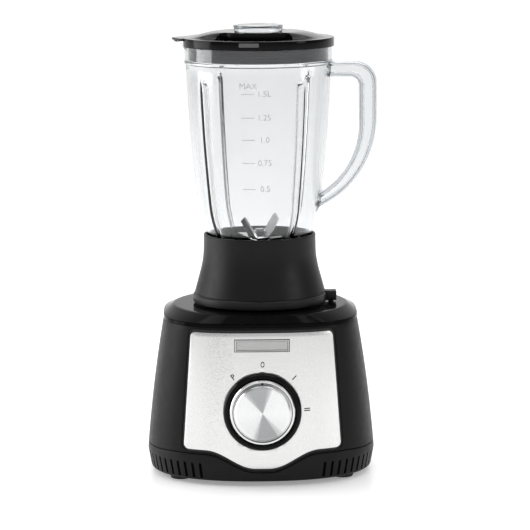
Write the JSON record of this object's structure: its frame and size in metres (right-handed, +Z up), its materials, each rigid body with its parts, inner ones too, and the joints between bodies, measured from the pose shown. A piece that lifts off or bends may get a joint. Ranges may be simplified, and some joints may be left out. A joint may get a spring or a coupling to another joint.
{
  "type": "countertop blender",
  "caption": "Countertop blender with a tapered motor base and dial, a clear ribbed jug with a handle on a flared collar, steel blades, a dark lid and a clear measuring cap.",
  "frame": {"origin": "on the drive axis, at the floor under the feet", "axes": "+Z up along the drive axis; -Y faces the user, where the dial is; +X to the user's right, where the handle is"},
  "size_m": [0.2152, 0.2023, 0.4145],
  "materials": {
    "housing": "satin moulded",
    "pan": "satin moulded",
    "deck": "polished",
    "steel_panel": "brushed along its width",
    "frame": "matt",
    "badge": "pressed",
    "bezel": "gloss",
    "rubber": "matt",
    "seal_rubber": "matt",
    "gasket_rubber": "matt",
    "screw_steel": "zinc plated",
    "knob_metal": "polished",
    "knob_spun": "spun",
    "core_steel": "laminated",
    "copper": "enamelled wire",
    "bracket": "cast",
    "bearing_steel": "ground",
    "carbon": "pressed",
    "holder_brass": "pressed",
    "switch_case": "moulded",
    "board": "laminate",
    "board_parts": "moulded",
    "spring_steel": "drawn",
    "fan_plastic": "moulded",
    "coupler": "moulded",
    "collar": "satin moulded",
    "carrier": "moulded",
    "bush_bronze": "sintered",
    "blade_steel": "ground",
    "zinc": "die cast",
    "clear": "clear",
    "lid": "semi gloss"
  },
  "bodies": {
    "base": {"motor_housing": "housing", "base_pan": "pan", "top_deck": "deck", "front_panel": "steel_panel", "panel_frame": "frame", "badge_plate": "badge", "dial_bezel": "bezel", "rubber_feet": "rubber", "base_screws": "screw_steel", "cord_gland": "rubber", "drip_seal": "seal_rubber", "stator_core": "core_steel", "field_windings": "copper", "upper_bracket": "bracket", "lower_bracket": "bracket", "upper_bearing": "bearing_steel", "lower_bearing": "bearing_steel", "motor_mounts": "rubber", "motor_screws": "screw_steel", "brush_holders": "holder_brass", "carbon_brushes": "carbon", "selector_switch": "switch_case", "control_board": "board", "board_parts": "board_parts", "interlock_switch": "switch_case"},
    "pin": {"interlock_pin": "frame", "interlock_spring": "spring_steel"},
    "knob": {"knob_body": "knob_metal", "knob_disc": "knob_spun", "knob_spindle": "screw_steel"},
    "rotor": {"motor_shaft": "bearing_steel", "armature_core": "core_steel", "armature_windings": "copper", "commutator": "copper", "cooling_fan": "fan_plastic", "drive_coupler": "coupler"},
    "collar": {"jug_collar": "collar", "locking_ring": "collar", "blade_carrier": "carrier", "jug_gasket": "gasket_rubber", "blade_bush": "bush_bronze", "shaft_seal": "seal_rubber"},
    "blades": {"blade_shaft": "blade_steel", "blade_washer": "blade_steel", "lower_blade": "blade_steel", "upper_blade": "blade_steel", "blade_nut": "blade_steel", "driven_coupler": "zinc"},
    "jug": {"jug": "clear", "jug_handle": "clear"},
    "lid": {"lid": "lid", "lid_seal": "seal_rubber"},
    "cap": {"measuring_cap": "clear"}
  },
  "joints": [
    {"name": "jug_unit_lift", "type": "slide", "parent": "base", "child": "collar", "axis": [0, 0, 1], "range_m": [0, 0.1]},
    {"name": "jug_unscrew", "type": "hinge", "parent": "collar", "child": "jug", "pos_m": [0, 0, 0.21], "axis": [0, 0, 1], "range_deg": [0, 60]},
    {"name": "lid_lift", "type": "slide", "parent": "jug", "child": "lid", "axis": [0, 0, 1], "range_m": [0, 0.06]},
    {"name": "cap_lift", "type": "slide", "parent": "lid", "child": "cap", "axis": [0, 0, 1], "range_m": [0, 0.05]},
    {"name": "rotor_spin", "type": "hinge", "parent": "base", "child": "rotor", "pos_m": [0, 0, 0.09], "axis": [0, 0, 1], "continuous": true},
    {"name": "blade_spin", "type": "hinge", "parent": "collar", "child": "blades", "pos_m": [0, 0, 0.2], "axis": [0, 0, 1], "continuous": true},
    {"name": "dial_turn", "type": "hinge", "parent": "base", "child": "knob", "pos_m": [0, -0.0862, 0.0703], "axis": [0, -0.9994, 0.0349], "range_deg": [-86, 43]},
    {"name": "interlock_press", "type": "slide", "parent": "base", "child": "pin", "axis": [0, 0, -1], "range_m": [0, 0.003], "stiffness_N_per_m": 250, "springref_m": -0.002, "deforming": ["interlock_spring"]}
  ],
  "couplings": [
    {"joint": "blade_spin", "follows": "rotor_spin", "ratio": 1}
  ]
}
